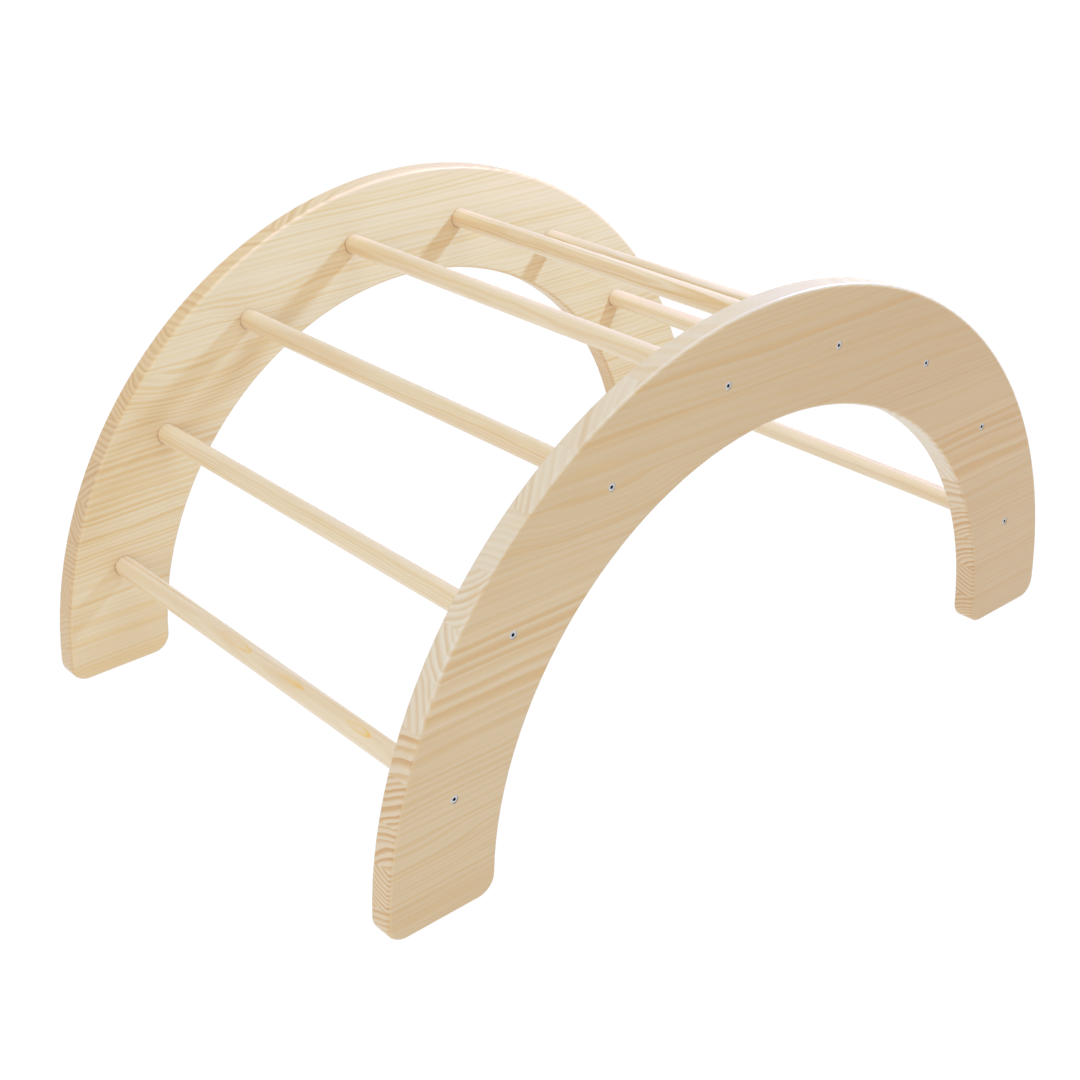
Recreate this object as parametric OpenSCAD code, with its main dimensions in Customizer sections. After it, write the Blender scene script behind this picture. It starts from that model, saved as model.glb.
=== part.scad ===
// Wooden rocker arch: two half-ring side panels joined by round rungs.
// X runs along the span, Y along the rungs and Z up, in millimetres.
// The origin lies on the floor, midway between the four feet.

/* [Arch] */
// Radius of the panels' outer curve
outer_r = 475; // [400:5:600]
// Width of a panel, from its outer curve to its inner curve
band_w = 120; // [90:5:150]
// Height above the floor of the centre that both curves share
centre_h = 4.5; // [2:0.5:10]
// Clear width between the two panels
clear_w = 544; // [350:2:800]

/* [Side panels] */
// Thickness of a panel
panel_t = 26; // [22:1:40]
// Radius that rounds every edge of a panel's outline
edge_r = 4; // [2:0.5:8]
// Radius of the two corners of each foot
foot_r = 20; // [12:0.5:30]

/* [Rungs] */
// How many rungs the arch has
rung_count = 8; // [4:1:9]
// Angle from one rung to the next, about the curves' centre
rung_step = 21.1; // [15:0.1:23]
// Diameter of a rung
rung_d = 22; // [18:0.5:32]
// Chamfer round each end of a rung
rung_chamfer = 1; // [0.5:0.25:2]
// Depth of the blind socket that takes a rung's end
socket_depth = 15; // [8:1:18]
// Clearance all round between a rung and its socket
socket_gap = 0.15; // [0.05:0.05:0.5]

/* [Screws] */
// Length of a screw, from the top of its head to its tip
screw_l = 50; // [40:5:70]
// Diameter of a screw's shank
screw_d = 4; // [3.5:0.5:6]
// Diameter of the countersunk head
head_d = 8; // [7.5:0.5:11]
// Height of the straight rim above the cone of the head
head_rim = 0.3; // [0.1:0.1:1]
// How far the head is sunk below the panel's outer face
head_sink = 0.6; // [0.2:0.1:2]
// Length of the pointed tip
tip_l = 6; // [4:1:10]
// Diameter across the lobes of the drive recess
drive_d = 3.9; // [3:0.1:4.5]
// Depth of the drive recess
drive_depth = 1.8; // [1:0.1:2.2]
// Clearance all round between a screw and the wood
screw_gap = 0.1; // [0.05:0.05:0.3]
// Depth of the pilot hole in a rung beyond the screw's tip
pilot_spare = 2; // [1:0.5:5]

/* [Hidden] */
inner_r = outer_r - band_w;
panel_y = (clear_w + panel_t) / 2;

// Places of the centres of a foot's outer corner (the toe) and inner corner (the heel),
// from the curves' centre. Each corner is tangent to the floor and to its curve.
corner_z = foot_r - centre_h;
toe_x = sqrt(pow(outer_r - foot_r, 2) - pow(corner_z, 2));
heel_x = sqrt(pow(inner_r + foot_r, 2) - pow(corner_z, 2));

// The rungs stand on the middle line of the panels
rung_r = (outer_r + inner_r) / 2;
first_rung = 90 + rung_step * (rung_count - 1) / 2;
rung_l = clear_w + 2 * socket_depth;

// Wood left between a socket and the outer face, which the screw passes through
web = panel_t - socket_depth;
head_cone = (head_d - screw_d) / 2;
pilot_l = head_sink + screw_l - web + pilot_spare;
tip_d = screw_d / 5;

// Shape of the six-lobed drive recess, and how far each screw is turned from the last
lobe_count = 6;
lobe_d = drive_d / 4;
drive_core = 0.75 * drive_d;
drive_turn = 37;

// How far a cutting shape runs past the face that it opens
cut = 1;
$fn = 96;

rungs = [1:rung_count];

panel_colour = "#e3cda6";
rung_colour = "#efd9b0";
screw_colour = "#b9bec6";

// Section of a board from x = a to x = b, with a rounded edge at b and, if asked, at a
module board_section(a, b, round_a = false) {
    flat_a = a + (round_a ? edge_r : 0);
    flat_b = b - edge_r;
    translate([flat_a, -panel_t / 2]) square([flat_b - flat_a, panel_t]);
    translate([flat_b, 0]) edge_section();
    if (round_a) translate([flat_a, 0]) mirror([1, 0]) edge_section();
}

// The outermost strip of a board's section, rounded on both faces
module edge_section() {
    core = panel_t - 2 * edge_r;
    translate([0, -core / 2]) square([edge_r, core]);
    for (y = [-core / 2, core / 2]) translate([0, y]) circle(r = edge_r);
}

// Turns a section about the Y axis
module turned() {
    rotate([90, 0, 0]) rotate_extrude() children();
}

// Moves along X in a coarse and a fine step, so that an export keeps every decimal
module along_x(x) {
    coarse = round(x * 100) / 100;
    translate([coarse, 0, 0]) translate([x - coarse, 0, 0]) children();
}

// The two curves. Each ends on the line from their centre through the centre of its corner.
module half_ring() {
    reach = 2 * outer_r;
    rise = reach * corner_z / toe_x;
    right = [[heel_x, corner_z], [toe_x, corner_z], [reach, rise], [reach, -reach]];
    left = [[-reach, -reach], [-reach, rise], [-toe_x, corner_z], [-heel_x, corner_z]];
    difference() {
        turned() board_section(inner_r, outer_r, round_a = true);
        rotate([90, 0, 0]) linear_extrude(2 * panel_t, center = true)
            polygon(concat([[0, 0]], right, left));
    }
}

// One round corner of a foot, tangent to the floor
module foot_corner(x) {
    along_x(x) translate([0, 0, corner_z]) turned() board_section(0, foot_r);
}

// The right foot: its two corners and the flat between them
module foot() {
    foot_corner(toe_x);
    foot_corner(heel_x);
    along_x(heel_x) translate([0, 0, corner_z + cut])
        rotate([90, 90, 90]) linear_extrude(toe_x - heel_x) board_section(0, foot_r + cut);
}

// Puts something at the place of rung k, with the curves' centre at the origin
module at_rung(k) {
    angle = first_rung - rung_step * (k - 1);
    translate([rung_r * cos(angle), 0, rung_r * sin(angle)]) children();
}

// Everything that is bored for one rung, from the outer face at z = 0 inwards
module rung_seat() {
    bore_r = screw_d / 2 + screw_gap;
    sink_r = head_d / 2 + screw_gap;
    cone_z = head_sink + head_rim;
    rotate_extrude() polygon([
        [0, -cut],
        [sink_r, -cut],
        [sink_r, cone_z],
        [bore_r, cone_z + head_cone],
        [bore_r, web + cut],
        [0, web + cut]
    ]);
    translate([0, 0, web]) cylinder(d = rung_d + 2 * socket_gap, h = socket_depth + cut);
}

// A bored panel, with its outer face towards -Y and the curves' centre at the origin
module bored_panel() {
    difference() {
        union() {
            half_ring();
            foot();
            mirror([1, 0, 0]) foot();
        }
        for (k = rungs) at_rung(k) translate([0, -panel_t / 2, 0]) rotate([-90, 0, 0]) rung_seat();
    }
}

module side_panel_front() {
    color(panel_colour) translate([0, -panel_y, centre_h]) bored_panel();
}

module side_panel_back() {
    color(panel_colour) mirror([0, 1, 0]) translate([0, -panel_y, centre_h]) bored_panel();
}

// A rung: a turned bar, chamfered and drilled at both ends
module rung(k) {
    r = rung_d / 2;
    color(rung_colour) translate([0, 0, centre_h]) at_rung(k) difference() {
        rotate([-90, 0, 0]) translate([0, 0, -rung_l / 2]) rotate_extrude() polygon([
            [0, 0],
            [r - rung_chamfer, 0],
            [r, rung_chamfer],
            [r, rung_l - rung_chamfer],
            [r - rung_chamfer, rung_l],
            [0, rung_l]
        ]);
        for (side = [0, 1]) mirror([0, side, 0]) translate([0, -rung_l / 2 - cut, 0])
            rotate([-90, 0, 0]) cylinder(d = screw_d + 2 * screw_gap, h = pilot_l + cut);
    }
}

// A countersunk wood screw along +Z, with the top of its head at z = 0
module wood_screw(turn) {
    difference() {
        rotate_extrude() polygon([
            [0, 0],
            [head_d / 2, 0],
            [head_d / 2, head_rim],
            [screw_d / 2, head_rim + head_cone],
            [screw_d / 2, screw_l - tip_l],
            [tip_d / 2, screw_l],
            [0, screw_l]
        ]);
        rotate(turn) translate([0, 0, -cut]) linear_extrude(drive_depth + cut) drive_section();
    }
}

// Outline of the drive recess: a core with lobes round it
module drive_section() {
    circle(d = drive_core);
    for (i = [1:lobe_count]) rotate(360 / lobe_count * i)
        translate([(drive_d - lobe_d) / 2, 0]) circle(d = lobe_d);
}

module screw_front(k) {
    color(screw_colour) translate([0, -clear_w / 2 - panel_t + head_sink, centre_h])
        at_rung(k) rotate([-90, 0, 0]) wood_screw(drive_turn * k);
}

module screw_back(k) {
    mirror([0, 1, 0]) screw_front(k);
}

side_panel_front();
side_panel_back();
for (k = rungs) {
    rung(k);
    screw_front(k);
    screw_back(k);
}
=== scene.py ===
"""Wooden rocker arch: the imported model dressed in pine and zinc, in a white studio."""
from math import cos, radians, sin

import bpy
from mathutils import Matrix, Vector


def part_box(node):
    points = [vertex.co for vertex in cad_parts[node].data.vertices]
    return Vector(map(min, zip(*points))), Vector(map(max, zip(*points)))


MM = 0.001


def rgb(red, green, blue):
    """A colour in linear light."""
    return (red, green, blue, 1.0)


# Camera: where the photograph was taken from, as angles and a distance from a point on the arch
CAMERA_AZIMUTH = -41.12
CAMERA_ELEVATION = 26.46
CAMERA_ROLL = -0.35
CAMERA_TARGET = Vector((-0.2715, -0.2639, 0.3334))
CAMERA_DISTANCE = 1.4491
SENSOR_WIDTH = 36.0
FOCAL_LENGTH = 56.44
SHIFT_X = 0.0011
SHIFT_Y = -0.02
CLIP_START = 0.05
CLIP_END = 100.0

# Light that comes out pure white in the picture. The floor and the low sky glow with it.
WHITE = 1.27

# Sky: its faint light high up, and the heights between which the glow fades, as sines of the elevation
HIGH_SKY = 0.05
SKY_FADE = (0.26, 0.45)

# Floor: a wide dark disc that shows nothing but its own glow
FLOOR_RADIUS = 30.0
FLOOR_CORNERS = 64
FLOOR_COLOUR = rgb(0.05, 0.05, 0.05)
FLOOR_ROUGHNESS = 0.9

# Lamps: for each its place, the point it faces, its width and height, its power in watts and its colour
LAMPS = {
    "key": ((0.69, -0.25, 0.92), (-0.5, 0.3, 0.4), (0.13, 0.13), 7.8, (0.95, 1.32, 2.1)),
    "ceiling": ((0.2, -0.2, 2.6), (0.0, 0.0, 0.2), (2.4, 2.4), 64.0, (1.0, 1.0, 1.0)),
    "high": ((1.0, 0.5, 2.6), (0.0, 0.0, 0.3), (0.5, 0.5), 6.0, (1.0, 1.0, 1.0)),
    "left": ((-2.2, -0.7, 1.0), (-0.3, 0.0, 0.25), (1.4, 1.4), 25.0, (1.0, 1.0, 1.0)),
}

# Tone curve: linear light in the scene and in the picture, with a soft shoulder towards white
TONES = [(0.2, 0.195), (0.32, 0.3), (0.45, 0.43), (0.6, 0.565), (0.8, 0.71), (1.0, 0.805)]

# Pine: the dullest spring wood and the autumn wood of the planed face and of the sawn rim, and what lies over
# them. The palest spring wood differs from board to board.
FACE_SPRING = rgb(0.46, 0.335, 0.19)
FACE_AUTUMN = rgb(0.54, 0.335, 0.148)
RIM_SPRING = rgb(0.50, 0.345, 0.205)
RIM_AUTUMN = rgb(0.42, 0.245, 0.105)
STREAK = rgb(0.565, 0.345, 0.145)
CLOUD = rgb(0.54, 0.33, 0.148)
KNOT = rgb(0.72, 0.40, 0.13)

# Pine: how strong its autumn wood is on the face, how strong streaks and clouds are at most and the noise at
# which they begin and are full, and how much of a board's tint its rim takes
FACE_LINES = 0.8
STREAKS = 0.5
STREAK_NOISE = (0.0, 0.9)
CLOUDS = 0.2
CLOUD_NOISE = (0.2, 1.0)
RIM_TINT = 0.35

# Pine: how many waves of each kind there are in a metre, along the grain and across it, and how many of the
# tree's pace, outwards from its heart
BEND_WAVES = (5.0, 14.0)
RIPPLE_WAVES = (16.0, 60.0)
FIBRE_WAVES = (14.0, 900.0)
PORE_WAVES = (300.0, 1800.0)
CLOUD_WAVES = (6.0, 30.0)
STREAK_WAVES = (2.5, 90.0)
PACE_WAVES = 55.0

# Pine: how far the growth rings stray from circles, in wide bends and in fine ripples, and how far a ring
# strays from its turn as the tree's pace changes, in rings
RING_BEND = 2.6 * MM
RING_RIPPLE = 0.35 * MM
RING_STRAY = 0.4

# Pine: the part of a year, from 0 to 1, in which the wood darkens, and told backwards the part in which it
# turns pale again, on end grain and along the board, and how dark the faintest autumn is on each
CRISP_YEAR = ((0.3, 0.75), (1.0, 0.92))
SOFT_YEAR = ((0.05, 0.6), (1.0, 0.75))
FAINT_END = 0.65
FAINT_BOARD = 0.25

# Pine: how much fibres and pores change its shade, how much autumn wood and fibres stand out, and how much
# fibres change its roughness
FIBRE_SHADE = 0.04
PORE_SHADE = 0.02
AUTUMN_HEIGHT = 0.3
FIBRE_HEIGHT = 0.25
FIBRE_ROUGHNESS = 0.05

# Pine: its surface under a thin lacquer. The roughness is that of spring wood and of autumn wood.
PINE_ROUGHNESS = (0.46, 0.38)
PINE_IOR = 1.45
PINE_BUMP = 0.06
LACQUER = 0.12
LACQUER_ROUGHNESS = 0.3
BUMP_HEIGHT = 0.05 * MM

# How far a surface faces along the grain where end grain begins and where it is full, on a panel and on a
# rung, and how far it faces sideways where a panel's rim begins and where it is full
PANEL_END = (0.35, 0.85)
RUNG_END = (0.15, 0.75)
PANEL_RIM = (0.95, 0.75)

# Staves of the panels: their width, and the widest ring and the farthest heart, in mm, that the lists below
# may name
STAVE_WIDTH = 40.8 * MM
WIDEST_RING = 10.0
FARTHEST_HEART = 200.0

# Staves of the panels: how far their grain may slope against each other, the length of trunk that they come
# from, and the distance from the panel's middle within which its tint comes up
GRAIN_SLOPE = 0.03
TRUNK_LENGTH = 7.0
TINT_REACH = 0.3

# Staves of the panels: what keeps the chance of their slopes, their places in the trunk and their grain apart
SLOPE_SEED = 40.5
TRUNK_SEED = 0.5
STAVE_SEED = 3.7

# Panels. first_joint is the height of the lowest glued joint. palest is the palest spring wood, of the face
# and of the rim. tint is the colour that multiplies the wood towards the right foot.
# staves lists the staves from the floor up: the angle in degrees that the growth rings lean from the board's
# thickness, how far above (+) or below (-) the stave the heart of the tree lay and how wide a ring is, both
# in mm; then, from 0 to 1, how pale the wood is and how strong its lines are, on the face and on the rim. The
# rim's paleness, low at the feet and higher up the arch, is partly the end grain's own colour and partly
# painted light from above.
# swerves lists where the grain swerves: x and z of the spot, its reach along and across the grain and how
# far it pushes the grain, all in mm.
PANELS = {
    "front": {
        "seed": 3.0,
        "first_joint": 35.8 * MM,
        "palest": (rgb(0.66, 0.50, 0.34), rgb(0.595, 0.495, 0.38)),
        "tint": rgb(0.95, 0.90, 0.86),
        "staves": [
            (23, -150, 4.8, 0.56, 0.60, 0.30, 1.00), (-18, 60, 5.0, 0.60, 0.70, 0.36, 1.00),
            (26, -45, 6.0, 0.63, 0.60, 0.42, 1.00), (30, -110, 6.0, 0.60, 0.65, 0.45, 1.00),
            (17, -90, 9.0, 0.60, 0.65, 0.56, 0.90), (-54, -160, 8.0, 0.75, 1.00, 0.85, 0.40),
            (-42, 70, 8.0, 0.67, 1.00, 1.00, 0.45), (33, 75, 6.0, 0.56, 0.50, 1.00, 0.50),
            (11, -100, 5.0, 0.47, 0.75, 1.00, 0.25), (-46, -180, 7.0, 0.44, 0.75, 1.00, 0.40),
            (-45, 150, 7.0, 0.42, 1.00, 0.90, 0.35), (5, -120, 5.0, 0.47, 0.60, 0.62, 0.30),
            (12, 130, 5.0, 0.50, 0.60, 0.62, 0.30),
        ],
        "swerves": [(-440, 70, 90, 32, 7), (-225, 338, 110, 30, 9), (90, 385, 120, 26, 5)],
    },
    "back": {
        "seed": 11.0,
        "first_joint": 39.0 * MM,
        "palest": (rgb(0.66, 0.505, 0.328), rgb(0.73, 0.52, 0.325)),
        "tint": rgb(0.98, 0.93, 0.86),
        "staves": [
            (32, -140, 5.0, 0.60, 0.75, 0.17, 0.60), (27, -120, 5.5, 0.65, 0.80, 0.15, 0.65),
            (-45, 130, 5.5, 0.72, 0.80, 0.10, 0.70), (3, -170, 5.0, 0.75, 0.90, 0.12, 0.80),
            (-28, 110, 5.5, 0.78, 1.00, 0.14, 0.80), (41, -150, 6.5, 0.78, 1.00, 0.22, 0.80),
            (3, 140, 6.0, 0.80, 0.90, 0.30, 0.70), (-15, 90, 5.0, 0.80, 0.80, 0.42, 0.65),
            (-12, 70, 5.0, 0.85, 0.75, 0.58, 0.55), (4, -150, 6.0, 0.85, 0.75, 0.68, 0.50),
            (16, -130, 6.0, 0.83, 0.80, 0.82, 0.50), (-30, 120, 5.0, 0.85, 0.75, 0.85, 0.50),
            (10, 140, 5.0, 0.85, 0.70, 0.85, 0.45),
        ],
        "swerves": [(-290, 300, 90, 34, 10), (-190, 372, 80, 26, 6), (200, 330, 110, 30, 6)],
    },
}

# Joints of a panel: half the width of a glue line; the painted shade in a thin crescent at each rung's
# socket, with its shift from the socket, its inner and outer radius and its depth; and how much darker than
# the wood each of them is
GLUE_WIDTH = 0.25 * MM
GLUE_DARK = 0.09
SOCKET_SHADE_SHIFT = Vector((-0.35, 0.0, -0.25)) * MM
SOCKET_SHADE_RADII = (11.35 * MM, 11.65 * MM)
SOCKET_SHADE_DEPTH = 2 * MM
SOCKET_SHADE_DARK = 0.36

# Rungs: the palest spring wood of the side and of the ends, the look of all ends and the look of each side.
# A look is how pale the wood is and how strong its lines are.
RUNG_PALEST = (rgb(0.68, 0.52, 0.362), rgb(0.63, 0.485, 0.345))
RUNG_END_LOOK = (0.8, 0.6)
RUNG_LOOKS = [
    (1.0, 0.8), (1.0, 0.7), (0.8, 0.7), (1.0, 0.6), (1.0, 0.75), (0.9, 0.9), (1.0, 0.75), (0.95, 0.9)
]

# Rungs: the heart's distance from the rung, the turn about the rung from one heart to the next, in degrees,
# a ring's width, and how far the grain may slope and the turn that varies this by rung, in radians
RUNG_SEED = 17.0
RUNG_HEART = 55 * MM
RUNG_TURN = 137.5
RUNG_RING = 3.0 * MM
RUNG_SLOPE = 0.012
SLOPE_TURN = 2.0
KNOTTY_SLOPE = 0.033

# Knots cut along their length, by rung: place along the rung in mm, angle about the rung from +X towards
# +Z, reach along and across the grain in mm, strength, and 1 for a ring or 0 for a patch
KNOTS = {1: [(-166, 118, 16, 3.2, 1.0, 0.85), (-60, 118, 17, 2.2, 0.8, 0.1), (40, 116, 24, 3.6, 0.7, 1.0)]}

# Outline of a knot: its waves in a metre, along and across the grain, and how strong they are, then where a
# hollow knot is filled and where its edge fades, as squares of the distance from its middle in reaches
KNOT_WAVES = (90.0, 260.0)
KNOT_WAVINESS = 0.25
KNOT_FILL = (0.3, 1.0)
KNOT_EDGE = (1.8, 1.0)

# Fading of a knot: from which place along it to which, in reaches, and how strong it is at each, and how far
# in front of the rung's axis it is full
KNOT_FADE = (1.2, -1.2, 0.3, 1.0)
KNOT_FRONT = 2.0 * MM

# Zinc: its dullest and its brightest colour, the painted shade inside the drive recess and round it, the
# depths below the top of the head and the radii between which that painted shade comes up, how far it does so
# by radius alone, the clouds in a metre, and the metal's surface
ZINC_DULL = rgb(0.36, 0.38, 0.41)
ZINC_BRIGHT = rgb(0.56, 0.58, 0.60)
RECESS_SHADE = rgb(0.05, 0.055, 0.075)
RECESS_SHADE_DEPTHS = (0.15 * MM, 0.9 * MM)
RECESS_SHADE_RADII = (2.0 * MM, 1.2 * MM)
RECESS_SHADE_RIM = 0.85
ZINC_WAVES = 900.0
ZINC_METAL = 0.9
ZINC_ROUGHNESS = (0.28, 0.42)
ZINC_BUMP = 0.2


class Shader:
    """A material or world whose nodes are wired by plain function calls."""

    def __init__(self, owner):
        self.owner = owner
        owner.use_nodes = True
        self.nodes = owner.node_tree.nodes
        self.links = owner.node_tree.links
        self.nodes.clear()

    def plug(self, value, socket):
        """Gives a socket its value, which is a number, a colour or another node's output."""
        if isinstance(value, bpy.types.NodeSocket):
            self.links.new(value, socket)
        else:
            socket.default_value = value

    def add(self, kind, *inputs, out=0, named=None, **settings):
        """Adds a node and returns one of its outputs."""
        node = self.nodes.new("ShaderNode" + kind)
        for key, value in settings.items():
            setattr(node, key, value)
        for value, socket in zip(inputs, node.inputs):
            self.plug(value, socket)
        for key, value in (named or {}).items():
            self.plug(value, node.inputs[key])
        return node.outputs[out]

    def math(self, operation, *values):
        return self.add("Math", *values, operation=operation)

    def plus(self, a, b):
        return self.math("ADD", a, b)

    def minus(self, a, b):
        return self.math("SUBTRACT", a, b)

    def times(self, a, b):
        return self.math("MULTIPLY", a, b)

    def over(self, a, b):
        return self.math("DIVIDE", a, b)

    def size(self, a):
        return self.math("ABSOLUTE", a)

    def vector(self, x, y, z):
        return self.add("CombineXYZ", x, y, z)

    def split(self, vector):
        node = self.nodes.new("ShaderNodeSeparateXYZ")
        self.plug(vector, node.inputs[0])
        return node.outputs[:3]

    def ramp(self, value, low, high, to_low=0.0, to_high=1.0, smooth=True):
        """Carries the range from low to high over to another range, and stays within that."""
        kind = "SMOOTHSTEP" if smooth else "LINEAR"
        return self.add("MapRange", value, low, high, to_low, to_high, interpolation_type=kind)

    def noise(self, vector, detail=2.0):
        """Smooth noise about 0, mostly between -1 and 1, for a vector in its own wavelengths."""
        named = {"Vector": vector, "Scale": 1.0, "Detail": detail, "Roughness": 0.5}
        raw = self.add("TexNoise", named=named)
        return self.ramp(raw, 0.25, 0.75, -1.0, 1.0, smooth=False)

    def dice(self, value):
        """A random number between 0 and 1 that belongs to a number."""
        return self.add("TexWhiteNoise", named={"W": value}, noise_dimensions="1D")

    def mix(self, share, a, b, blend="MIX"):
        node = self.nodes.new("ShaderNodeMix")
        node.data_type = "RGBA"
        node.blend_type = blend
        self.plug(share, node.inputs["Factor"])
        colours = [socket for socket in node.inputs if socket.type == "RGBA"]
        for value, socket in zip((a, b), colours):
            self.plug(value, socket)
        return next(socket for socket in node.outputs if socket.type == "RGBA")

    def steps(self, index, rows):
        """Picks a row, of up to three numbers from 0 to 1, by a whole number."""
        node = self.nodes.new("ShaderNodeValToRGB")
        node.color_ramp.interpolation = "CONSTANT"
        stops = node.color_ramp.elements
        count = len(rows)
        for k in range(2, count):
            stops.new(k / count)
        for k, row in enumerate(rows):
            stops[k].position = k / count
            stops[k].color = (*row, *[0.0] * (3 - len(row)), 1.0)
        self.plug(self.over(self.plus(index, 0.5), count), node.inputs[0])
        parts = self.nodes.new("ShaderNodeSeparateColor")
        self.links.new(node.outputs[0], parts.inputs[0])
        return parts.outputs[:3]

    def finish(self, surface, output="OutputMaterial"):
        self.links.new(surface, self.nodes.new("ShaderNode" + output).inputs["Surface"])


def surface_point(s):
    """The x, y and z of the place, and of the direction that the surface faces."""
    return s.split(s.add("TexCoord", out="Object")), s.split(s.add("TexCoord", out="Normal"))


def from_axis(s, x, z, centre):
    """Distance from the line that runs along Y through a point."""
    offset = s.vector(s.minus(x, centre.x), 0.0, s.minus(z, centre.z))
    return s.add("VectorMath", offset, operation="LENGTH", out="Value")


def waves(s, grain, along, across, seed=0.0, detail=2.0):
    """Noise that is drawn out along the grain, with so many waves in a metre along it and across it."""
    run, side, up = grain
    place = s.vector(s.times(run, along), s.times(side, across), s.plus(s.times(up, across), seed))
    return s.noise(place, detail)


def years(s, grain, ring, end, seed):
    """Growth rings round the heart of the tree, which lies along the grain where side and up are 0.
    Returns how dark the wood of the year is, from 0 for spring to 1 for autumn: sharply bounded on the
    end grain, soft along the board."""
    _, side, up = grain
    bend = s.times(waves(s, grain, *BEND_WAVES, seed), RING_BEND)
    ripple = s.times(waves(s, grain, *RIPPLE_WAVES, seed), RING_RIPPLE)
    radius = s.math("SQRT", s.plus(s.times(side, side), s.times(up, up)))
    radius = s.plus(radius, s.plus(bend, ripple))
    pace = s.noise(s.vector(s.times(radius, PACE_WAVES), seed, 0.0), detail=1.0)
    age = s.plus(s.over(radius, ring), s.times(pace, RING_STRAY))
    season = s.math("FRACT", age)
    luck = s.dice(s.plus(s.math("FLOOR", age), seed))
    crisp, soft = [s.times(s.ramp(season, *darkens), s.ramp(season, *pales))
                   for darkens, pales in (CRISP_YEAR, SOFT_YEAR)]
    autumn = s.plus(soft, s.times(end, s.minus(crisp, soft)))
    faintest = s.ramp(end, 0.0, 1.0, FAINT_BOARD, FAINT_END)
    return s.times(autumn, s.ramp(luck, 0.0, 1.0, faintest, 1.0))


def dress(s, grain, ring, cut, looks, palest, seed, dark=None, tint=None, knots=None):
    """Colours and polishes the wood, closes the material and returns it.

    grain   the place along the grain, and sideways and upwards from the heart of the tree
    ring    the width of a growth ring
    cut     how far the surface is end grain, and how far it is rim and not face
    looks   of the face and of the rim: how pale the wood is and how strong its lines are
    palest  the colour of the palest spring wood, of the face and of the rim
    dark    how much darker the wood is at a joint or under painted shade
    tint    how far a colour multiplies the wood, and that colour
    knots   how far the wood is a knot
    """
    end, rim = cut
    (face_pale, face_lines), (rim_pale, rim_lines) = looks
    autumn = years(s, grain, ring, end, seed)
    fibre = waves(s, grain, *FIBRE_WAVES, detail=3.0)
    pores = waves(s, grain, *PORE_WAVES)
    cloud = waves(s, grain, *CLOUD_WAVES, seed)
    streak = waves(s, grain, *STREAK_WAVES, seed)

    face = s.mix(face_pale, FACE_SPRING, palest[0])
    face = s.mix(s.times(autumn, s.times(face_lines, FACE_LINES)), face, FACE_AUTUMN)
    face = s.mix(s.times(s.ramp(streak, *STREAK_NOISE, 0.0, STREAKS), face_lines), face, STREAK)
    sawn = s.mix(rim_pale, RIM_SPRING, palest[1])
    sawn = s.mix(s.times(autumn, rim_lines), sawn, RIM_AUTUMN)
    colour = s.mix(rim, face, sawn)
    colour = s.mix(s.ramp(cloud, *CLOUD_NOISE, 0.0, CLOUDS), colour, CLOUD)
    if knots is not None:
        colour = s.mix(knots, colour, KNOT)

    speckle = s.plus(s.times(fibre, s.ramp(end, 0.0, 1.0, FIBRE_SHADE, 0.0)), s.times(pores, PORE_SHADE))
    shade = s.plus(1.0, speckle)
    if dark is not None:
        shade = s.times(shade, s.minus(1.0, dark))
    colour = s.add("VectorMath", colour, s.vector(shade, shade, shade), operation="MULTIPLY")
    if tint is not None:
        share, tone = tint
        colour = s.mix(s.times(share, s.ramp(rim, 0.0, 1.0, 1.0, RIM_TINT)), colour, tone, "MULTIPLY")

    rough = s.plus(s.ramp(autumn, 0.0, 1.0, *PINE_ROUGHNESS), s.times(fibre, FIBRE_ROUGHNESS))
    height = s.plus(s.times(autumn, AUTUMN_HEIGHT), s.times(fibre, FIBRE_HEIGHT))
    bump = s.add("Bump", named={"Strength": PINE_BUMP, "Distance": BUMP_HEIGHT, "Height": height})
    s.finish(s.add("BsdfPrincipled", named={
        "Base Color": colour, "Roughness": rough, "Normal": bump, "IOR": PINE_IOR,
        "Coat Weight": LACQUER, "Coat Roughness": LACQUER_ROUGHNESS}))
    return s.owner


def hearts(s, stave, staves):
    """Where each stave's heart lies from the middle of the stave, in y and z, and how wide its rings are."""
    rows = []
    for lean, heart, ring, *_ in staves:
        a = radians(lean)
        rows.append((0.5 + heart * sin(a) / (2 * FARTHEST_HEART), 0.5 + heart * cos(a) / (2 * FARTHEST_HEART),
                     ring / WIDEST_RING))
    heart_y, heart_z, ring = s.steps(stave, rows)
    reach = FARTHEST_HEART * MM
    heart_y = s.ramp(heart_y, 0.0, 1.0, -reach, reach, smooth=False)
    heart_z = s.ramp(heart_z, 0.0, 1.0, -reach, reach, smooth=False)
    return heart_y, heart_z, s.times(ring, WIDEST_RING * MM)


def swerved(s, up, x, z, swerves):
    """Pushes the grain upwards round each of some spots."""
    for spot_x, spot_z, reach_x, reach_z, push in swerves:
        along = s.over(s.minus(x, spot_x * MM), reach_x * MM)
        above = s.over(s.minus(z, spot_z * MM), reach_z * MM)
        off = s.plus(s.times(along, along), s.times(above, above))
        up = s.plus(up, s.ramp(off, 1.0, 0.0, 0.0, push * MM))
    return up


def socket_shade(s, x, y, z, inner_face, rungs):
    """How far a place on a panel's inner face lies in the crescent of painted shade at a rung's socket."""
    nearest = 1.0
    for rung in rungs:
        low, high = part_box(rung)
        nearest = s.math("MINIMUM", nearest, from_axis(s, x, z, (low + high) / 2 + SOCKET_SHADE_SHIFT))
    inner, outer = SOCKET_SHADE_RADII
    on_face = s.ramp(s.size(y), inner_face + SOCKET_SHADE_DEPTH, inner_face + SOCKET_SHADE_DEPTH / 2)
    return s.times(s.ramp(nearest, outer, inner), on_face)


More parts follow.
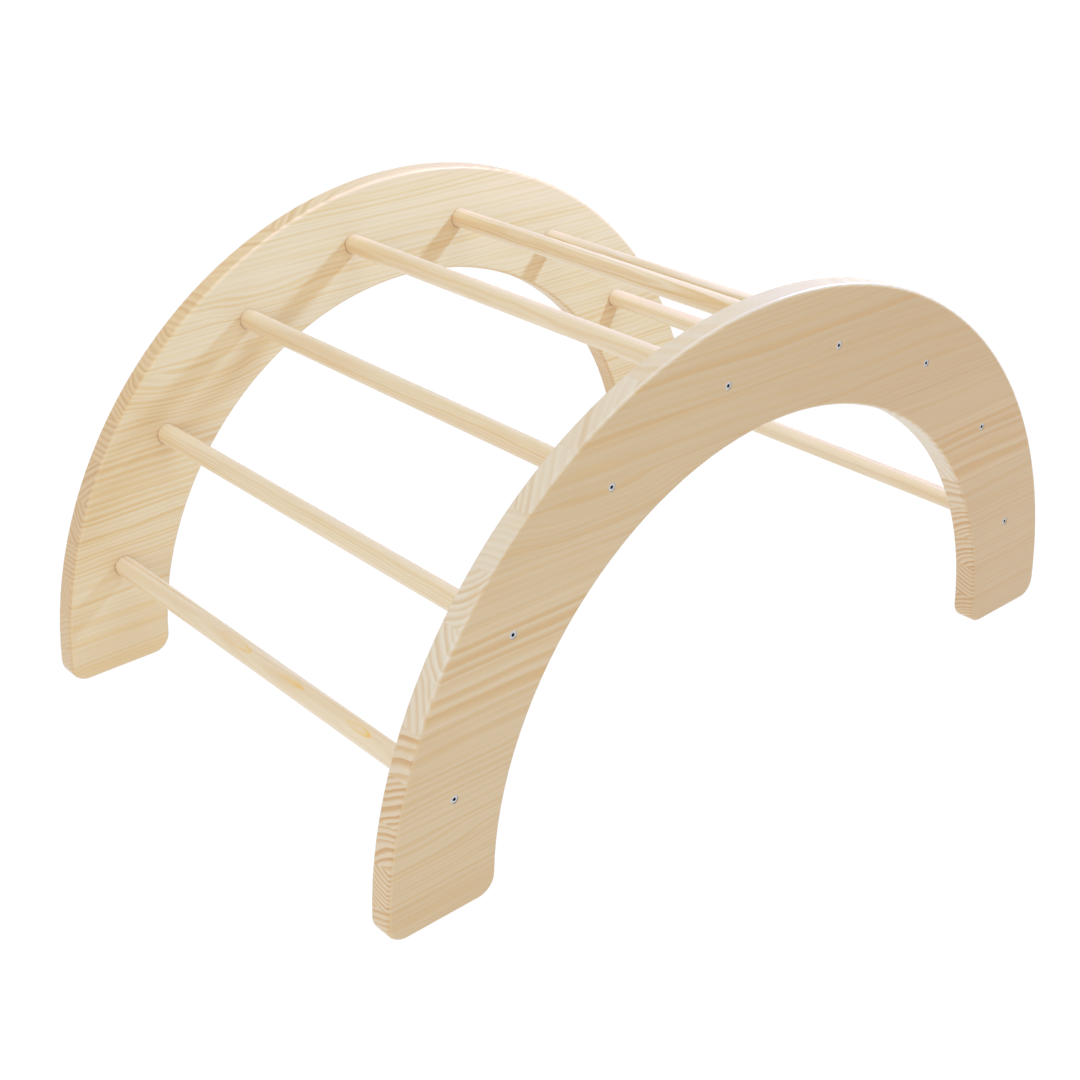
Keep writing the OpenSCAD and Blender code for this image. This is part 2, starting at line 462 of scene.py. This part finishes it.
def board(name, node, rungs, seed, first_joint, palest, tint, staves, swerves):
    """A panel glued from staves that run along X."""
    s = Shader(bpy.data.materials.new(name))
    (x, y, z), facing = surface_point(s)
    low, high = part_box(node)
    count = s.over(s.plus(z, STAVE_WIDTH - first_joint), STAVE_WIDTH)
    stave = s.math("FLOOR", count)
    above = s.times(s.minus(s.math("FRACT", count), 0.5), STAVE_WIDTH)
    heart_y, heart_z, ring = hearts(s, stave, staves)
    face_pale, face_lines, _ = s.steps(stave, [look[3:5] for look in staves])
    # The rim's paleness by stave holds partly painted light from above, rising up the arch
    rim_pale, rim_lines, _ = s.steps(stave, [look[5:7] for look in staves])

    # Each stave comes from its own place along the trunk, and its grain slopes its own way
    run = s.plus(x, s.times(s.dice(s.plus(stave, seed + TRUNK_SEED)), TRUNK_LENGTH))
    slope = s.times(s.minus(s.dice(s.plus(stave, seed + SLOPE_SEED)), 0.5), GRAIN_SLOPE)
    side = s.minus(s.minus(y, (low.y + high.y) / 2), heart_y)
    up = swerved(s, s.plus(s.minus(above, heart_z), s.times(x, slope)), x, z, swerves)

    end = s.ramp(s.size(facing[0]), *PANEL_END)
    rim = s.ramp(s.size(facing[1]), *PANEL_RIM)
    glue = s.ramp(s.size(above), STAVE_WIDTH / 2 - GLUE_WIDTH, STAVE_WIDTH / 2)
    # Painted shade: a dark crescent in the gap round each rung's socket and on the socket's wall
    socket = socket_shade(s, x, y, z, min(abs(low.y), abs(high.y)), rungs)
    return dress(
        s, (run, side, up), ring, (end, rim), ((face_pale, face_lines), (rim_pale, rim_lines)), palest,
        seed=s.plus(s.times(stave, STAVE_SEED), seed),
        dark=s.plus(s.times(glue, GLUE_DARK), s.times(socket, SOCKET_SHADE_DARK)),
        tint=(s.ramp(x, -TINT_REACH, TINT_REACH), tint))


def knot(s, place, centre, along, around, reach, width, strength, hollow):
    """How far the wood of a rung is a knot, which fades from one end to the other."""
    x, y, z = place
    a = radians(around)
    out_x, out_z = s.minus(x, centre.x), s.minus(z, centre.z)
    front = s.plus(s.times(out_x, cos(a)), s.times(out_z, sin(a)))
    across = s.over(s.minus(s.times(out_z, cos(a)), s.times(out_x, sin(a))), width * MM)
    along = s.over(s.minus(y, along * MM), reach * MM)
    off = s.plus(s.times(along, along), s.times(across, across))
    off = s.plus(off, s.times(waves(s, (y, x, z), *KNOT_WAVES), KNOT_WAVINESS))
    oval = s.times(s.ramp(off, *KNOT_FILL, 1.0 - hollow, 1.0), s.ramp(off, *KNOT_EDGE))
    fade = s.times(s.ramp(along, *KNOT_FADE), s.ramp(front, 0.0, KNOT_FRONT, 0.0, strength))
    return s.times(oval, fade)


def dowel(name, node, number):
    """A rung turned from one stick that runs along Y."""
    s = Shader(bpy.data.materials.new(name))
    (x, y, z), facing = surface_point(s)
    low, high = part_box(node)
    centre = (low + high) / 2
    angle = radians(RUNG_TURN * number)
    slope = KNOTTY_SLOPE if number in KNOTS else RUNG_SLOPE * cos(SLOPE_TURN * number)
    side = s.plus(s.minus(x, centre.x - RUNG_HEART * cos(angle)), s.times(y, slope))
    up = s.minus(z, centre.z - RUNG_HEART * sin(angle))
    end = s.ramp(s.size(facing[1]), *RUNG_END)
    knots = None
    for shape in KNOTS.get(number, []):
        spot = knot(s, (x, y, z), centre, *shape)
        knots = spot if knots is None else s.math("MAXIMUM", knots, spot)
    return dress(s, (y, side, up), RUNG_RING, (end, end), (RUNG_LOOKS[number - 1], RUNG_END_LOOK),
                 RUNG_PALEST, seed=RUNG_SEED + number, knots=knots)


def zinc(name, node):
    """Zinc of the two screws of a rung, with painted shade in the drive recess and round it."""
    s = Shader(bpy.data.materials.new(name))
    (x, y, z), _ = surface_point(s)
    low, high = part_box(node)
    depth = s.minus(max(abs(low.y), abs(high.y)), s.size(y))
    radius = from_axis(s, x, z, (low + high) / 2)
    # Painted shade: the drive recess, and a ring round it, turn near black
    dark = s.math("MAXIMUM", s.ramp(depth, *RECESS_SHADE_DEPTHS), s.ramp(radius, *RECESS_SHADE_RADII, 0.0, RECESS_SHADE_RIM))
    cloud = waves(s, (x, y, z), ZINC_WAVES, ZINC_WAVES, detail=3.0)
    colour = s.mix(dark, s.mix(s.ramp(cloud, -1.0, 1.0), ZINC_DULL, ZINC_BRIGHT), RECESS_SHADE)
    rough = s.ramp(cloud, -1.0, 1.0, *ZINC_ROUGHNESS)
    bump = s.add("Bump", named={"Strength": ZINC_BUMP, "Distance": BUMP_HEIGHT, "Height": cloud})
    s.finish(s.add("BsdfPrincipled", named={
        "Base Color": colour, "Metallic": ZINC_METAL, "Roughness": rough, "Normal": bump}))
    return s.owner


def paint(node, material):
    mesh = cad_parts[node].data
    mesh.materials.clear()
    mesh.materials.append(material)


def camera():
    a, e = radians(CAMERA_AZIMUTH), radians(CAMERA_ELEVATION)
    back = Vector((sin(a) * cos(e), -cos(a) * cos(e), sin(e)))
    data = bpy.data.cameras.new("camera")
    data.sensor_width = SENSOR_WIDTH
    data.lens = FOCAL_LENGTH
    data.shift_x = SHIFT_X
    data.shift_y = SHIFT_Y
    data.clip_start = CLIP_START
    data.clip_end = CLIP_END
    seen = bpy.data.objects.new("camera", data)
    turn = (-back).to_track_quat("-Z", "Y").to_matrix() @ Matrix.Rotation(radians(CAMERA_ROLL), 3, "Z")
    seen.matrix_world = Matrix.Translation(CAMERA_TARGET + back * CAMERA_DISTANCE) @ turn.to_4x4()
    bpy.context.scene.collection.objects.link(seen)
    bpy.context.scene.camera = seen


def lamp(name, place, aim, size, power, colour):
    data = bpy.data.lights.new(name, "AREA")
    data.shape = "ELLIPSE"
    data.size, data.size_y = size
    data.energy = power
    data.color = colour
    lit = bpy.data.objects.new(name, data)
    lit.location = place
    lit.rotation_euler = (Vector(aim) - Vector(place)).to_track_quat("-Z", "Y").to_euler()
    lit.visible_camera = False
    bpy.context.scene.collection.objects.link(lit)


def sky():
    world = bpy.data.worlds.new("studio")
    s = Shader(world)
    _, _, height = s.split(s.add("TexCoord", out="Generated"))
    glow = s.ramp(height, *SKY_FADE, WHITE, HIGH_SKY)
    s.finish(s.add("Background", rgb(1, 1, 1), glow), "OutputWorld")
    bpy.context.scene.world = world


def ground():
    bpy.ops.mesh.primitive_circle_add(vertices=FLOOR_CORNERS, radius=FLOOR_RADIUS, fill_type="NGON")
    floor = bpy.context.object
    floor.name = "floor"
    s = Shader(bpy.data.materials.new("floor"))
    s.finish(s.add("BsdfPrincipled", named={
        "Base Color": FLOOR_COLOUR, "Roughness": FLOOR_ROUGHNESS,
        "Emission Color": rgb(1, 1, 1), "Emission Strength": WHITE}))
    floor.data.materials.append(s.owner)


def develop():
    """Sets how the light of the scene becomes the tones of the picture."""
    view = bpy.context.scene.view_settings
    view.view_transform = "Standard"
    view.use_curve_mapping = True
    curve = view.curve_mapping
    curve.white_level = (WHITE, WHITE, WHITE)
    tone = curve.curves[3]
    for light, shown in TONES:
        tone.points.new(light / WHITE, shown)
    curve.update()


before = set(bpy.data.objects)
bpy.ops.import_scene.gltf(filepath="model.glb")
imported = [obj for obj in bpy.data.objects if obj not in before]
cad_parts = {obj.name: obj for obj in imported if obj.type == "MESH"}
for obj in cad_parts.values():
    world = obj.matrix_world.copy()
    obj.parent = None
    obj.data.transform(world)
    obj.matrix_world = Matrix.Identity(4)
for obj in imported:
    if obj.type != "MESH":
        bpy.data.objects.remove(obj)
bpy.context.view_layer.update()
rungs = sorted(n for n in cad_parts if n.startswith("rung_"))
for side, setting in PANELS.items():
    panel = "side_panel_" + side
    paint(panel, board("pine_" + side, panel, rungs, **setting))
for k, rung in enumerate(rungs, 1):
    paint(rung, dowel("pine_" + rung, rung, k))
    finish = zinc("zinc_%d" % k, "screw_front_%d" % k)
    for side in PANELS:
        paint("screw_%s_%d" % (side, k), finish)
camera()
sky()
for name, setting in LAMPS.items():
    lamp(name, *setting)
ground()
develop()
